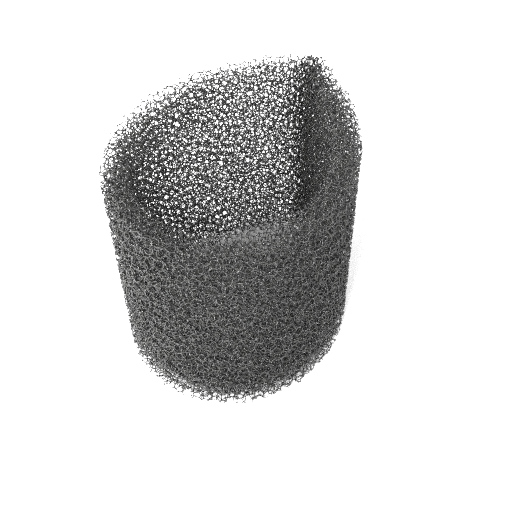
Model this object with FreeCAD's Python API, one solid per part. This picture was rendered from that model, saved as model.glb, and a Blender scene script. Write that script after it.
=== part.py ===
import FreeCAD
import Part
import math
import os

# Sponge filter: an open sleeve of coarse reticulated foam that slips over a pump's intake cage.
# One flat strip is bent into a loop and its two cut ends are bonded in a single upright seam.
# Frame: origin in the middle of the bottom rim, +Z up the sleeve, the seam at +Y. Millimetres.

# Driving dimensions
HEIGHT = 94.0              # width of the foam sheet, which becomes the height of the sleeve
WALL = 10.0                # thickness of the foam sheet
STRIP_LENGTH = 285.0       # length of the strip along its middle, from seam to seam
SEAM_HALF_ANGLE = 59.3     # angle between each end of the strip and the plane of the seam, degrees
BOND = 0.8                 # thickness of the adhesive layer in the seam
BLUNT = 1.7                # depth of the flat on the outer corner of the seam
CHORDS = 240               # steps used to follow the bend round the loop

BETA = math.radians(SEAM_HALF_ANGLE)


def bend(k_tip, k_rate):
    """Middle line of a strip of unit length, from the seam to the far side of the loop.

    A bent strip whose ends are held together curves more the further it is from the seam:
    curvature = k_tip + k_rate * (distance from the seam along the middle plane).
    """
    step = 0.5 / CHORDS
    x, y, heading = 0.0, 0.0, BETA
    line = [(x, y, heading)]
    for _ in range(CHORDS):
        half_turn = (k_tip + k_rate * x) * step / 2
        mid_x = x + math.cos(heading - half_turn) * step / 2
        turn = (k_tip + k_rate * mid_x) * step
        x += math.cos(heading - turn / 2) * step
        y += math.sin(heading - turn / 2) * step
        heading -= turn
        line.append((x, y, heading))
    return line


def miss(k_tip, k_rate):
    """How far the bend is from closing: its offset from the middle plane, and its heading error."""
    x, y, heading = bend(k_tip, k_rate)[-1]
    return y, heading + math.pi / 2


def closed_bend():
    """Solves the two curvature terms so that the loop closes smoothly opposite the seam."""
    k_tip, k_rate = 2.0, 25.0
    nudge = 1e-5
    for _ in range(30):
        gap, lean = miss(k_tip, k_rate)
        gap_a, lean_a = miss(k_tip + nudge, k_rate)
        gap_b, lean_b = miss(k_tip, k_rate + nudge)
        a, b = (gap_a - gap) / nudge, (gap_b - gap) / nudge
        c, d = (lean_a - lean) / nudge, (lean_b - lean) / nudge
        det = a * d - b * c
        k_tip -= (d * gap - b * lean) / det
        k_rate -= (a * lean - c * gap) / det
    return bend(k_tip, k_rate)


def face_line(offset):
    """Half of one face of the strip, offset outwards from its middle and mitred at the seam."""
    start = -offset * math.sin(BETA), offset * math.cos(BETA)
    back = (start[1] - BOND / 2) / math.sin(BETA)
    points = [(start[0] - back * math.cos(BETA), BOND / 2)]
    for x, y, heading in closed_bend():
        px = x * STRIP_LENGTH - offset * math.sin(heading)
        py = y * STRIP_LENGTH + offset * math.cos(heading)
        if px > points[0][0] + WALL / 20 and py > BOND / 2:
            points.append((px, py))
    return points


def loop_curve(offset):
    """Smooth curve round the whole loop at one face of the strip."""
    half = face_line(offset)
    far = closed_bend()[-1][0] * STRIP_LENGTH + offset
    middle = [] if abs(half[-1][1]) < 1e-6 else [(far, 0.0)]
    half = [p for p in half if p[1] > 0.2]
    points = half + middle + [(x, -y) for x, y in reversed(half)]
    curve = Part.BSplineCurve()
    curve.interpolate([FreeCAD.Vector(x, y, 0) for x, y in points])
    return curve.toShape()


def prism(edges):
    """Upright solid on a closed ring of edges."""
    face = Part.Face(Part.Wire(edges))
    return face.extrude(FreeCAD.Vector(0, 0, HEIGHT))


def strip_loop():
    """The foam strip bent into its loop, with the adhesive's gap left between its ends."""
    outer, inner = loop_curve(WALL / 2), loop_curve(-WALL / 2)
    ends = zip(outer.Vertexes, inner.Vertexes)
    joins = [Part.makeLine(a.Point, b.Point) for a, b in ends]
    return prism([outer, joins[1], inner, joins[0]])


def bond_layer():
    """The adhesive layer that fills the seam from the inner crease to the outer corner."""
    outer, inner = face_line(WALL / 2)[0][0], face_line(-WALL / 2)[0][0]
    layer = Part.makeBox(inner - outer, BOND, HEIGHT)
    layer.translate(FreeCAD.Vector(outer, -BOND / 2, 0))
    return layer


def blunt_corner(shape):
    """Takes the sharp outer edge off the seam corner."""
    edge = face_line(WALL / 2)[0][0]
    tool = Part.makeBox(WALL, 2 * WALL, HEIGHT)
    tool.translate(FreeCAD.Vector(edge + BLUNT - WALL, -WALL, 0))
    return shape.cut(tool)


def place(shape, centre):
    """Moves a shape so the loop is centred on Z, then turns the seam to +Y."""
    shape.translate(FreeCAD.Vector(-centre, 0, 0))
    shape.rotate(FreeCAD.Vector(0, 0, 0), FreeCAD.Vector(0, 0, 1), -90)
    return shape


foam = blunt_corner(strip_loop())
bond = blunt_corner(bond_layer())
middle = (foam.BoundBox.XMin + foam.BoundBox.XMax) / 2

os.makedirs("parts", exist_ok=True)
place(foam, middle).exportStep("parts/foam_sleeve.step")
place(bond, middle).exportStep("parts/seam_bond.step")
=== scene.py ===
import itertools
import math

import bmesh
import bpy
import numpy as np
from mathutils import Matrix, Vector, kdtree
from mathutils.geometry import delaunay_2d_cdt


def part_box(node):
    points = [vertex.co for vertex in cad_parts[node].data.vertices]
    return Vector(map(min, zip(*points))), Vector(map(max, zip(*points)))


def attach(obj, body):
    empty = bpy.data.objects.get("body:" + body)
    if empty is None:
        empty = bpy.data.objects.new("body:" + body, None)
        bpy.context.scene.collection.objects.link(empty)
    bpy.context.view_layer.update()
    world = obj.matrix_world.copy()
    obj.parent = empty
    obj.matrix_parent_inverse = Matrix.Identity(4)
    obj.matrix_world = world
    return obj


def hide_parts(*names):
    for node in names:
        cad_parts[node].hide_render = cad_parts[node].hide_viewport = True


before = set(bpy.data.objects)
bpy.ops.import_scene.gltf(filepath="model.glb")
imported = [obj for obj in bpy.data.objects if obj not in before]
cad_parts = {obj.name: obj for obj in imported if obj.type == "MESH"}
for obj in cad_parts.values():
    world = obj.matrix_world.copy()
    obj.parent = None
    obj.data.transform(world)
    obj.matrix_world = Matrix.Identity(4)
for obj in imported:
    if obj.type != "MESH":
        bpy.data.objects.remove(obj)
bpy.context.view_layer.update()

MM = 0.001
TINY = 1e-9                 # keeps divisions away from zero

# ---------------------------------------------------------------- the strip's plan, in millimetres
STRIP = 285.0               # length of the foam strip along its middle
WALL = 10.0                 # its thickness
BETA = math.radians(59.3)   # half the corner angle at the seam
CHORDS = 600

NEWTON_ROUNDS = 30
NUDGE = 1e-5                # step for the slopes in Newton's method
CLOSED = 1e-12              # miss at which the loop counts as closed

foam_low, foam_high = (np.array(c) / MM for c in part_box("foam_sleeve"))
bond_low, bond_high = (np.array(c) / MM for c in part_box("seam_bond"))
HEIGHT = foam_high[2] - foam_low[2]
BOND = bond_high[0] - bond_low[0]


def bend(k_tip, k_rate):
    """Half a unit strip's middle line, seam to far side, as rows of x, y, heading."""
    step = 0.5 / CHORDS
    x, y, heading = 0.0, 0.0, BETA
    rows = [(x, y, heading)]
    for _ in range(CHORDS):
        half_turn = (k_tip + k_rate * x) * step / 2
        turn = (k_tip + k_rate * (x + math.cos(heading - half_turn) * step / 2)) * step
        x += math.cos(heading - turn / 2) * step
        y += math.sin(heading - turn / 2) * step
        heading -= turn
        rows.append((x, y, heading))
    return np.array(rows)


def closed_bend():
    """The bend that closes smoothly opposite the seam, by Newton's method on its two terms."""
    k = np.array([2.0, 25.0])   # first guess
    goal = np.array([0.0, -math.pi / 2])
    for _ in range(NEWTON_ROUNDS):
        miss = bend(*k)[-1, 1:] - goal
        slope = np.column_stack([
            (bend(k[0] + NUDGE, k[1])[-1, 1:] - goal - miss) / NUDGE,
            (bend(k[0], k[1] + NUDGE)[-1, 1:] - goal - miss) / NUDGE,
        ])
        k -= np.linalg.solve(slope, miss)
        if np.abs(miss).max() < CLOSED:
            break
    return bend(*k)


HALF = closed_bend()
FAR = HALF[-1, 0] * STRIP + WALL / 2    # distance of the outer far side from the middle line's tip


def on_loop(p):
    """Moves points from the flat strip (along, out, up) into the bent loop, in the row's frame."""
    along, out, up = p[:, 0], p[:, 1], p[:, 2]
    second = along > STRIP / 2
    a = np.where(second, STRIP - along, along) / STRIP
    grid = np.linspace(0, 0.5, CHORDS + 1)
    x, y, h = (np.interp(a, grid, HALF[:, i]) for i in range(3))
    straight = np.minimum(a, 0)
    x, y = x + straight * math.cos(BETA), y + straight * math.sin(BETA)
    x = x * STRIP - out * np.sin(h)
    y = y * STRIP + out * np.cos(h)
    y = np.where(second, -y, y)
    return np.column_stack([y, foam_low[1] + FAR - x, foam_low[2] + up])


# The two ends are pressed together when they are bonded, which crowds the cells next to the seam.
PRESS = 5.0                 # how much foam each end gives up
PRESS_DEPTH = 3.1           # over about what distance from the seam's plane
PRESS_BEYOND = 12.0         # how far past the seam the crowding is tabulated
PRESS_STEPS = 4000


def pressed(p):
    """Moves points along the strip, towards its ends, to fill the crowded zones by the seam."""
    gap = np.linspace(-PRESS_BEYOND, STRIP / 2, PRESS_STEPS)
    relaxed = gap - PRESS * np.exp(-np.clip(gap, 0, None) / PRESS_DEPTH)
    second = p[:, 0] > STRIP / 2
    a = np.where(second, STRIP - p[:, 0], p[:, 0])
    out = p[:, 1] * math.cos(BETA)
    a = (np.interp(a * math.sin(BETA) + out, relaxed, gap) - out) / math.sin(BETA)
    return np.column_stack([np.where(second, STRIP - a, a), p[:, 1], p[:, 2]])


# ---------------------------------------------------------------- the open-cell network
CELL = 3.95                 # edge of the lattice that the cells' centres are shuffled from
SHUFFLE = 0.24              # how far each centre is moved, as a share of that
MARGIN = 3.6                # cells are grown this far past the strip, so that its faces cut them
NEAREST = 32                # how many neighbours each cell is given
UPPER = 18                  # and how many of the later ones a node is looked for among
LATTICE_TURN = ((0.61, "X"), (0.43, "Y"), (0.87, "Z"))  # keeps the lattice's rows off the faces
SLANT = [1.0, 0.31, 0.23]   # line along which the cells are put in order
SPREAD_NEAREST = 16         # neighbours that push a cell away
SPREAD_ROUNDS = 12
SPREAD_REACH = 0.90 * CELL  # cells nearer than this push each other
SPREAD_PUSH = 0.25
WIDEST = 1.2 * CELL         # no node is farther than this from its four cells
BATCH = 1500                # cells looked at together
FLAT = 1e-9                 # four centres with a smaller determinant lie in a plane
ROUNDING = 1e-7             # room for rounding when squared distances are compared
rng = np.random.default_rng(20260)


def cell_centres():
    end = (WALL / 2 * math.cos(BETA) + PRESS) / math.sin(BETA) + MARGIN
    low = np.array([-end, -WALL / 2 - MARGIN, -MARGIN])
    high = np.array([STRIP + end, WALL / 2 + MARGIN, HEIGHT + MARGIN])
    x_turn, y_turn, z_turn = (Matrix.Rotation(angle, 3, axis) for angle, axis in LATTICE_TURN)
    turn = np.array(x_turn @ y_turn @ z_turn)
    middle = (low + high) / 2
    reach = int(np.linalg.norm(high - low) / 2 / CELL) + 1
    # walk the lattice in slabs, keeping what is inside
    ax = np.arange(-reach, reach + 1)
    points = []
    for i in ax:
        j, k = np.meshgrid(ax, ax, indexing="ij")
        base = np.column_stack([np.full(j.size, i), j.ravel(), k.ravel()]).astype(float)
        both = np.vstack([base, base + 0.5]) * CELL
        q = both @ turn.T + middle
        points.append(q[((q > low) & (q < high)).all(1)])
    points = np.vstack(points)
    return points + rng.normal(0, SHUFFLE * CELL, points.shape)


def neighbours(points, count):
    tree = kdtree.KDTree(len(points))
    for i, p in enumerate(points):
        tree.insert(p, i)
    tree.balance()
    found = np.empty((len(points), count), np.int64)
    for i, p in enumerate(points):
        found[i] = [hit[1] for hit in tree.find_n(p, count + 1)[1:]]
    return found


def spread(points, near, rounds, reach):
    """Pushes centres apart that are closer than reach, as bubbles do."""
    for _ in range(rounds):
        gap = points[near] - points[:, None]
        size = np.linalg.norm(gap, axis=2)
        push = np.clip(reach - size, 0, None) / size
        points = points - SPREAD_PUSH * (gap * push[..., None]).sum(1)
    return points


def voronoi_nodes(points, near):
    """Every point equally far from four centres, with none nearer: rows of 4 centres, and points."""
    n = len(points)
    higher = np.where(near > np.arange(n)[:, None], near, -1)
    order = np.argsort(higher < 0, axis=1, kind="stable")
    higher = np.take_along_axis(higher, order, 1)[:, :UPPER]
    triples = np.array(list(itertools.combinations(range(UPPER), 3)))
    cells, places = [], []
    for start in range(0, n, BATCH):
        rows = np.arange(start, min(start + BATCH, n))
        h = higher[rows]
        ok = (h[:, triples] >= 0).all(2)
        r, t = np.nonzero(ok)
        ids = h[r[:, None], triples[t]]
        base = points[rows[r]]
        a, b, c = (points[ids[:, i]] - base for i in range(3))
        aa, bb, cc = ((v * v).sum(1) for v in (a, b, c))
        bc, ca, ab = np.cross(b, c), np.cross(c, a), np.cross(a, b)
        det = 2 * (a * bc).sum(1)
        det = np.where(np.abs(det) < FLAT, FLAT, det)
        centre = (aa[:, None] * bc + bb[:, None] * ca + cc[:, None] * ab) / det[:, None]
        radius2 = (centre * centre).sum(1)
        keep = radius2 < WIDEST * WIDEST
        r, ids, centre, radius2, base = (x[keep] for x in (r, ids, centre, radius2, base))
        # first reject by the nearest few, then test the rest
        for first, last in ((0, 8), (8, 20), (20, near.shape[1])):
            others = points[near[rows[r], first:last]] - base[:, None]
            dist2 = ((others - centre[:, None]) ** 2).sum(2)
            keep = (dist2 > radius2[:, None] - ROUNDING).all(1)
            r, ids, centre, radius2, base = (x[keep] for x in (r, ids, centre, radius2, base))
        cells.append(np.column_stack([rows[r], ids]))
        places.append(base + centre)
    cells = np.vstack(cells)
    return np.sort(cells, axis=1), np.vstack(places)


centres = cell_centres()
centres = spread(centres, neighbours(centres, SPREAD_NEAREST), SPREAD_ROUNDS, SPREAD_REACH)
# in order along a slanting line, about half of a cell's neighbours come after it
centres = centres[np.argsort(centres @ SLANT)]
near = neighbours(centres, NEAREST)
cells, nodes = voronoi_nodes(centres, near)


# ---------------------------------------------------------------- nodes and struts
# A node is where four cells meet. Its four struts each leave one cell out. Six films, each between two
# of the cells, meet there too; they are open in this foam, but their directions give a node its six
# corners, and a strut's three ridges follow the films of the three cells round it.
FILMS = [(0, 1), (0, 2), (0, 3), (1, 2), (1, 3), (2, 3)]
ROUND_STRUT = [[c for c in range(4) if c != m] for m in range(4)]
STRUT_FILMS = np.array([[FILMS.index(p) for p in itertools.combinations(r, 2)] for r in ROUND_STRUT])
CELL_FILMS = np.array([[f for f, p in enumerate(FILMS) if c in p] for c in range(4)])
FILM_STRUTS = np.array([[m for m in range(4) if m not in p] for p in FILMS])
EVEN_PULL = 0.4             # how far a node is pulled towards its neighbours' middle, each time
EVEN_ROUNDS = 3


def join_nodes(cells):
    """For each node and each of its struts, the node at the other end, or -1."""
    triples = np.stack([cells[:, r] for r in ROUND_STRUT], axis=1).reshape(-1, 3)
    big = cells.max() + 1
    key = (triples[:, 0] * big + triples[:, 1]) * big + triples[:, 2]
    order = np.argsort(key, kind="stable")
    same = key[order[1:]] == key[order[:-1]]
    one, two = order[:-1][same], order[1:][same]
    other = np.full(len(key), -1)
    other[one], other[two] = two, one
    return other.reshape(-1, 4)


def even_out(nodes, far_end, rounds):
    """Pulls nodes part of the way to their neighbours' middle, lengthening the shortest struts."""
    whole = (far_end >= 0).all(1)
    for _ in range(rounds):
        middle = nodes[far_end // 4].mean(1)
        nodes = np.where(whole[:, None], nodes + EVEN_PULL * (middle - nodes), nodes)
    return nodes


def unit(v):
    return v / np.maximum(np.linalg.norm(v, axis=-1, keepdims=True), TINY)


far_end = join_nodes(cells)
nodes = pressed(even_out(nodes, far_end, EVEN_ROUNDS))

THICK_MID = 0.178           # from a strut's middle line to its ridges, halfway along
THICK_END = 0.27            # the same, at its nodes
STUB = 0.30                 # a cut strut shorter than this is left off
RINGS = (0.24, 0.76)        # where along a strut its two rings of points are
SEAM_FACE = 4               # the column of clearances that is for the seam's plane

world = on_loop(nodes)
first_half = nodes[:, 0] < STRIP / 2
side = np.where(first_half, 1.0, -1.0)
tip = bond_high[1]


def clearances(flat, world, side):
    """How far inside each cut surface: both faces, both rims, the seam's plane and blunt edge.

    The seam's plane cuts only the half of the loop that is on the seam's side.
    """
    from_seam = np.where(world[:, 1] > 0, side * world[:, 0] - BOND / 2, tip)
    return np.column_stack([
        WALL / 2 - flat[:, 1], flat[:, 1] + WALL / 2, flat[:, 2], HEIGHT - flat[:, 2],
        from_seam, tip - world[:, 1],
    ])


clear = clearances(nodes, world, side)
inside = (clear > 0).all(1) & (far_end >= 0).all(1)
mate = np.where(far_end >= 0, far_end // 4, 0)
ends = world[mate]
along = ends - world[:, None]
heading = unit(along)
corner_way = unit(heading[:, FILM_STRUTS[:, 0]] + heading[:, FILM_STRUTS[:, 1]])

# each strut once, from its kept end: kept at both ends, or cut where it leaves the strip
v, m = np.nonzero(inside[:, None] & (far_end >= 0))
w = mate[v, m]
both = inside[w]
length = np.linalg.norm(along[v, m], axis=1)
clear_v, clear_w = clear[v], clearances(nodes[w], world[w], side[v])
cut_at = np.where(clear_w < 0, clear_v / np.maximum(clear_v - clear_w, TINY), 1.0)
leave = cut_at.min(1)       # share of each strut that is inside every cut surface
stub = ~both & (leave * length > STUB) & (leave < 1)
full = both & (v < w)


def largest_piece(inside, full, v, w):
    """Nodes that hang together with the bulk of the foam: crumbs cut free at its faces fall off."""
    label = np.arange(len(inside))
    a, b = v[full], w[full]
    while True:
        low = np.minimum(label[a], label[b])
        new = label.copy()
        np.minimum.at(new, a, low)
        np.minimum.at(new, b, low)
        new = new[new]
        if (new == label).all():
            break
        label = new
    values, counts = np.unique(label[inside], return_counts=True)
    return inside & (label == values[counts.argmax()])


kept = largest_piece(inside, full, v, w)
stub &= kept[v]
full &= kept[v]


def varied(count, spread, least, most):
    """Random factors about 1."""
    return np.clip(rng.normal(1, spread, count), least, most)


SECTORS = 14                # meshes round the loop, to keep each one small
COAT = 0.9                  # how much thicker adhesive makes the struts at the seam
COAT_DEPTH = 2.3            # over about what distance from the seam's plane
CORNER_SHARE = 0.816        # sine of the angle between a strut and its node's corners
at_bond = world[:, 1] > bond_low[1] - COAT_DEPTH
coat = 1 + COAT * np.exp(-np.abs(world[:, 0]) / COAT_DEPTH) * at_bond
thick = varied(length.size, spread=0.12, least=0.7, most=1.35) * coat[v]
knot = varied(len(nodes), spread=0.10, least=0.75, most=1.3) * coat
sector = np.clip((nodes[:, 0] / STRIP * SECTORS).astype(int), 0, SECTORS - 1)
corner = world[:, None] + (THICK_END / CORNER_SHARE * knot)[:, None, None] * corner_way

v_m = STRUT_FILMS[m]                       # the strut's three films, numbered at its first node
w_m = STRUT_FILMS[far_end[v, m] % 4]       # and at its second
e = heading[v, m]


def across(ways):
    """The part of each direction square to the strut, at unit length."""
    return unit(ways - (ways * e[:, None]).sum(2, keepdims=True) * e[:, None])


ridge_v = across(corner_way[v[:, None], v_m])
ridge_w = np.where((stub | ~both)[:, None, None], ridge_v, across(corner_way[w[:, None], w_m]))
flip = (np.cross(ridge_v[:, 0], ridge_v[:, 1]) * e).sum(1) < 0


def ring(t, at, shape):
    """Three points round the strut, at share t of its length."""
    way = unit((1 - t)[:, None, None] * ridge_v[at] + t[:, None, None] * ridge_w[at])
    size = (shape * thick[at])[:, None, None]
    middle = world[v[at]] + t[:, None] * along[v[at], m[at]]
    return middle[:, None] + size * way


def thickness(t):
    return THICK_MID + (THICK_END - THICK_MID) * np.abs(2 * t - 1) ** 3


def make_mesh(name, points, quads, triangles):
    mesh = bpy.data.meshes.new(name)
    mesh.vertices.add(len(points))
    mesh.vertices.foreach_set("co", (points * MM).astype(np.float32).ravel())
    corners = np.concatenate([quads.ravel(), triangles.ravel()]).astype(np.int32)
    mesh.loops.add(len(corners))
    mesh.loops.foreach_set("vertex_index", corners)
    past_quads = len(quads) * 4
    starts = np.concatenate([np.arange(len(quads)) * 4, past_quads + np.arange(len(triangles)) * 3])
    mesh.polygons.add(len(starts))
    mesh.polygons.foreach_set("loop_start", starts.astype(np.int32))
    mesh.polygons.foreach_set("use_smooth", np.ones(len(starts), bool))
    mesh.update(calc_edges=True)
    mesh.validate()
    obj = bpy.data.objects.new(name, mesh)
    bpy.context.scene.collection.objects.link(obj)
    return obj


def wound(tri, turn):
    """Reverses the rows of tri where turn is true."""
    return np.where(turn[:, None], tri[:, [0, 2, 1]], tri)


def sector_mesh(k):
    mine = np.nonzero(kept & (sector == k))[0]
    local = np.full(len(nodes), -1)
    local[mine] = np.arange(len(mine))
    points = [corner[mine].reshape(-1, 3)]
    quads, triangles = [], []
    # a strut belongs to the sector of its first node
    own = np.nonzero((full | stub) & (sector[v] == k))[0]
    joined = full[own] & (local[w[own]] >= 0)
    t_end = np.where(stub[own], leave[own], 1.0)
    count = points[0].shape[0]
    turn = flip[own]
    rows = [wound(6 * local[v[own]][:, None] + v_m[own], turn)]
    for share in RINGS:
        t = share * t_end
        points.append(ring(t, own, thickness(t)).reshape(-1, 3))
        rows.append(wound(count + 3 * np.arange(len(own))[:, None] + np.arange(3), turn))
        count += 3 * len(own)
    loose = np.nonzero(~joined)[0]
    last = np.where(joined[:, None], 6 * local[w[own]][:, None] + w_m[own], 0)
    t = t_end[loose]
    ends_at = ring(t, own[loose], thickness(t))
    far = full[own[loose]]
    ends_at[far] = corner[w[own[loose][far]][:, None], w_m[own[loose][far]]]
    points.append(ends_at.reshape(-1, 3))
    last[loose] = count + 3 * np.arange(len(loose))[:, None] + np.arange(3)
    rows.append(wound(last, turn))
    triangles.append(rows[-1][loose])
    for a, b in zip(rows, rows[1:]):
        for i in range(3):
            j = (i + 1) % 3
            quads.append(np.column_stack([a[:, i], a[:, j], b[:, j], b[:, i]]))
    # node faces towards the four cells, and over each place where no strut joins on
    open_end = np.ones((len(mine), 4), bool)
    open_end[local[v[own]], m[own]] = False
    open_end[local[w[own[joined]]], far_end[v[own[joined]], m[own[joined]]] % 4] = False
    for c in range(4):
        films = CELL_FILMS[c]
        ways = corner_way[mine][:, films]
        inward = (np.cross(ways[:, 0], ways[:, 1]) * heading[mine, c]).sum(1) > 0
        base = 6 * np.arange(len(mine))[:, None]
        triangles.append(wound(base + films, inward))
        films = STRUT_FILMS[c]
        ways = corner_way[mine][:, films]
        inward = (np.cross(ways[:, 0], ways[:, 1]) * heading[mine, c]).sum(1) < 0
        triangles.append(wound(base + films, inward)[open_end[:, c]])
    name = "foam_sleeve_%02d" % (k + 1)
    return make_mesh(name, np.vstack(points), np.vstack(quads), np.vstack(triangles))


foam = [sector_mesh(k) for k in range(SECTORS)]


# ---------------------------------------------------------------- the adhesive in the seam
GLUE_INSET = 0.7            # the adhesive stops this far short of the crease
BLOB = (0.26, 0.46)         # radius of a blob
STRAND = (0.08, 0.18)       # and of a strand
LONGEST = 1.9               # blobs farther apart than this aren't joined
SIDES = 6                   # of a strand
SWELL = ((0.0, 1.7), (0.25, 1.05), (0.5, 0.85), (0.75, 1.05), (1.0, 1.7))   # share along, width
FLATTEN = 0.4               # how near the seam's plane the blobs are drawn
STRETCH = (0.85, 1.2)       # of a blob, along each axis
ROUGH = 0.10                # unevenness of a blob's surface
INTO_CREASE = 0.6           # how far the adhesive may stand out of the seam, into the crease


def glue_points():
    """Where the struts of both ends meet the seam, in its plane: rows of y, z."""
    at_seam = stub & (cut_at.argmin(1) == SEAM_FACE)
    hits = world[v[at_seam]] + leave[at_seam, None] * along[v[at_seam], m[at_seam]]
    return hits[hits[:, 1] > bond_low[1] + GLUE_INSET]


def flat_web(points, longest):
    """Pairs of neighbouring points in a plane, by the edges of their triangulation."""
    _, _, faces, _, _, _ = delaunay_2d_cdt([Vector(p) for p in points], [], [], 0, 1e-4)
    pairs = {tuple(sorted((f[i], f[(i + 1) % 3]))) for f in faces for i in range(3)}
    pairs = np.array(sorted(pairs))
    size = np.linalg.norm(points[pairs[:, 0]] - points[pairs[:, 1]], axis=1)
    return pairs[size < longest]


def blob_mesh():
    """Corners and faces of a small rough ball."""
    bm = bmesh.new()
    bmesh.ops.create_icosphere(bm, subdivisions=2, radius=1.0)
    points = np.array([p.co[:] for p in bm.verts])
    faces = np.array([[p.index for p in f.verts] for f in bm.faces])
    bm.free()
    return points, faces


def glue_mesh():
    hits = glue_points()
    ball, ball_faces = blob_mesh()
    size = rng.uniform(*BLOB, len(hits))
    stretch = rng.uniform(*STRETCH, (len(hits), 1, 3))
    rough = 1 + ROUGH * rng.standard_normal((len(hits), len(ball), 1))
    place = hits.copy()
    place[:, 0] *= FLATTEN
    blobs = place[:, None] + ball[None] * stretch * size[:, None, None] * rough
    points = [blobs.reshape(-1, 3)]
    faces = [(ball_faces[None] + len(ball) * np.arange(len(hits))[:, None, None]).reshape(-1, 3)]
    count = len(points[0])
    pairs = flat_web(hits[:, 1:], LONGEST)
    a, b = place[pairs[:, 0]], place[pairs[:, 1]]
    way = unit(b - a)
    one = unit(np.cross(way, [1.0, 0, 0]))
    two = np.cross(way, one)
    strand = rng.uniform(*STRAND, len(pairs))
    rows = []
    for share, swell in SWELL:
        middle = a + (b - a) * share
        for i in range(SIDES):
            angle = 2 * math.pi * i / SIDES
            way_out = one * math.cos(angle) + two * math.sin(angle)
            rows.append(middle + way_out * (strand * swell)[:, None])
    rows = np.array(rows).reshape(len(SWELL), SIDES, len(pairs), 3)
    points.append(rows.transpose(2, 0, 1, 3).reshape(-1, 3))
    base = count + len(SWELL) * SIDES * np.arange(len(pairs))[:, None]
    quads = []
    for r in range(len(SWELL) - 1):
        here, there = r * SIDES, (r + 1) * SIDES
        for i in range(SIDES):
            j = (i + 1) % SIDES
            quads.append(base + np.array([here + i, here + j, there + j, there + i]))
    ends = [[0, i + 1, i] for i in range(SIDES - 2, 0, -1)]
    tops = [[(len(SWELL) - 1) * SIDES + i for i in t[::-1]] for t in ends]
    for t in ends + tops:
        faces.append(base + np.array(t))
    points = np.vstack(points)
    points[:, 1] = np.clip(points[:, 1], bond_low[1] - INTO_CREASE, bond_high[1])
    points[:, 2] = np.clip(points[:, 2], 0, HEIGHT)
    return make_mesh("seam_bond_web", points, np.vstack(quads), np.vstack(faces))


glue = glue_mesh()


# ---------------------------------------------------------------- materials
def new_material(name):
    mat = bpy.data.materials.new(name)
    mat.use_nodes = True
    return mat, mat.node_tree, mat.node_tree.nodes["Principled BSDF"]


def noise_ramp(tree, scale, detail, dark, light, low=0.3, high=0.7):
    """Noise in the piece's own space, and a colour ramp over it."""
    where = tree.nodes.new("ShaderNodeTexCoord")
    noise = tree.nodes.new("ShaderNodeTexNoise")
    noise.inputs["Scale"].default_value = scale
    noise.inputs["Detail"].default_value = detail
    tree.links.new(where.outputs["Object"], noise.inputs["Vector"])
    ramp = tree.nodes.new("ShaderNodeValToRGB")
    for element, position, colour in zip(ramp.color_ramp.elements, (low, high), (dark, light)):
        element.position = position
        element.color = (*colour, 1)
    tree.links.new(noise.outputs["Fac"], ramp.inputs["Fac"])
    return noise, ramp


def vary(tree, noise, socket, low, high):
    span = tree.nodes.new("ShaderNodeMapRange")
    span.inputs["To Min"].default_value = low
    span.inputs["To Max"].default_value = high
    tree.links.new(noise.outputs["Fac"], span.inputs["Value"])
    tree.links.new(span.outputs["Result"], socket)


def foam_material():
    mat, tree, shader = new_material("black_polyurethane_foam")
    noise, ramp = noise_ramp(tree, 260, 3, (0.010, 0.011, 0.011), (0.022, 0.022, 0.020))
    tree.links.new(ramp.outputs["Color"], shader.inputs["Base Color"])
    vary(tree, noise, shader.inputs["Roughness"], 0.14, 0.28)
    shader.inputs["Specular IOR Level"].default_value = 0.6
    return mat


def glue_material():
    mat, tree, shader = new_material("dried_contact_adhesive")
    noise, ramp = noise_ramp(tree, 900, 4, (0.010, 0.010, 0.011), (0.030, 0.029, 0.027))
    tree.links.new(ramp.outputs["Color"], shader.inputs["Base Color"])
    vary(tree, noise, shader.inputs["Roughness"], 0.25, 0.5)
    return mat


def finish(obj, mat, node):
    obj.data.materials.append(mat)
    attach(obj, "root")
    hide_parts(node)


foam_mat = foam_material()
for obj in foam:
    finish(obj, foam_mat, "foam_sleeve")
finish(glue, glue_material(), "seam_bond")


# ---------------------------------------------------------------- floor, light, camera
HOLLOW = ((-0.008, 0.040), (0.022, 0.027))  # two circles that cover the hollow, where shade is painted into the floor's colour: middle's y, radius
SHADE_EDGE = 0.005          # half the width of the painted shade's soft edge
# painted shade: the floor's darker colour inside the hollow, and its pale colour elsewhere
FLOOR_PAINTED_SHADE, FLOOR_PALE = 0.26, 0.93
FLOOR_Z = -0.0005           # just under the lowest strut ends
WALLS_LIGHT, CEILING_LIGHT = 2.4, 0.3
WALLS_END, CEILING_STARTS = 0.62, 0.88      # as sines of elevations


def floor_material():
    """A pale floor, with shade painted into its colour inside the hollow."""
    mat, tree, shader = new_material("pale_floor")
    shader.inputs["Roughness"].default_value = 0.9
    where = tree.nodes.new("ShaderNodeTexCoord")
    nearest = tree.nodes.new("ShaderNodeMath")
    nearest.operation = "MINIMUM"
    for (middle, radius), socket in zip(HOLLOW, nearest.inputs):
        far = tree.nodes.new("ShaderNodeVectorMath")
        far.operation = "DISTANCE"
        far.inputs[1].default_value = (0, middle, 0)
        past = tree.nodes.new("ShaderNodeMath")
        past.operation = "SUBTRACT"
        past.inputs[1].default_value = radius
        tree.links.new(where.outputs["Object"], far.inputs[0])
        tree.links.new(far.outputs["Value"], past.inputs[0])
        tree.links.new(past.outputs["Value"], socket)
    # painted shade: the floor's colour is darkened inside the hollow, where the foam would shade it
    shade = tree.nodes.new("ShaderNodeMapRange")
    shade.interpolation_type = "SMOOTHSTEP"
    shade.inputs["From Min"].default_value = -SHADE_EDGE
    shade.inputs["From Max"].default_value = SHADE_EDGE
    shade.inputs["To Min"].default_value = FLOOR_PAINTED_SHADE
    shade.inputs["To Max"].default_value = FLOOR_PALE
    tree.links.new(nearest.outputs["Value"], shade.inputs["Value"])
    tree.links.new(shade.outputs["Result"], shader.inputs["Base Color"])
    return mat


bpy.ops.mesh.primitive_plane_add(size=8, location=(0, 0, FLOOR_Z))
floor = bpy.context.object
floor.name = "floor"
floor.data.materials.append(floor_material())


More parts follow.
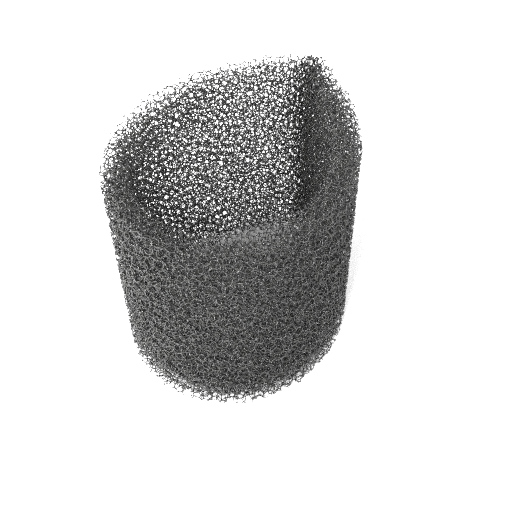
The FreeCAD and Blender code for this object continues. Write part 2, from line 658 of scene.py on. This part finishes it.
def area_light(name, at, size, watts, aim=(0, 0, 0.045)):
    lamp = bpy.data.lights.new(name, "AREA")
    lamp.shape = "DISK"
    lamp.size = size
    lamp.energy = watts
    obj = bpy.data.objects.new(name, lamp)
    obj.location = at
    obj.rotation_euler = (Vector(aim) - Vector(at)).to_track_quat("-Z", "Y").to_euler()
    bpy.context.scene.collection.objects.link(obj)
    return obj


def seen_from(azimuth, elevation, distance):
    """A place by its direction from the object, 0 degrees being in front of it at -Y."""
    a, e = math.radians(azimuth), math.radians(elevation)
    level = distance * math.cos(e)
    return level * math.sin(a), -level * math.cos(a), distance * math.sin(e)


area_light("key", seen_from(-52, 24, 0.9), 0.5, 16.5)
area_light("fill", seen_from(10, 50, 0.9), 0.22, 15)


def studio_world():
    """Even white light, brighter from the walls than from the ceiling, against a white backdrop."""
    studio = bpy.data.worlds.new("studio")
    bpy.context.scene.world = studio
    studio.use_nodes = True
    tree = studio.node_tree
    tree.nodes["Background"].inputs["Color"].default_value = (1, 1, 1, 1)
    where = tree.nodes.new("ShaderNodeTexCoord")
    split = tree.nodes.new("ShaderNodeSeparateXYZ")
    rise = tree.nodes.new("ShaderNodeMapRange")
    rise.interpolation_type = "SMOOTHSTEP"
    rise.inputs["From Min"].default_value = WALLS_END
    rise.inputs["From Max"].default_value = CEILING_STARTS
    rise.inputs["To Min"].default_value = WALLS_LIGHT
    rise.inputs["To Max"].default_value = CEILING_LIGHT
    path = tree.nodes.new("ShaderNodeLightPath")
    seen = tree.nodes.new("ShaderNodeMix")
    seen.inputs["B"].default_value = 1.0
    tree.links.new(where.outputs["Generated"], split.inputs["Vector"])
    tree.links.new(split.outputs["Z"], rise.inputs["Value"])
    tree.links.new(path.outputs["Is Camera Ray"], seen.inputs["Factor"])
    tree.links.new(rise.outputs["Result"], seen.inputs["A"])
    tree.links.new(seen.outputs["Result"], tree.nodes["Background"].inputs["Strength"])


studio_world()
bpy.context.scene.view_settings.view_transform = "Standard"
# the foam's struts are about one pixel wide: the denoiser and the default, wider filter smear them
bpy.context.scene.cycles.use_denoising = False
bpy.context.scene.cycles.filter_width = 1.2

EYE = Vector((0.123598, -0.195452, 0.30461))
LOOK = Vector((0.011854, -0.01136, 0.047))
ROLL = math.radians(-1.055)
cam = bpy.data.cameras.new("camera")
cam.lens = 60.37
cam.sensor_width = 36
cam.clip_start = 0.01
camera = bpy.data.objects.new("camera", cam)
bpy.context.scene.collection.objects.link(camera)
camera.location = EYE
camera.rotation_mode = "QUATERNION"
turn_to = (LOOK - EYE).to_track_quat("-Z", "Y")
camera.rotation_quaternion = turn_to @ Matrix.Rotation(ROLL, 3, "Z").to_quaternion()
bpy.context.scene.camera = camera
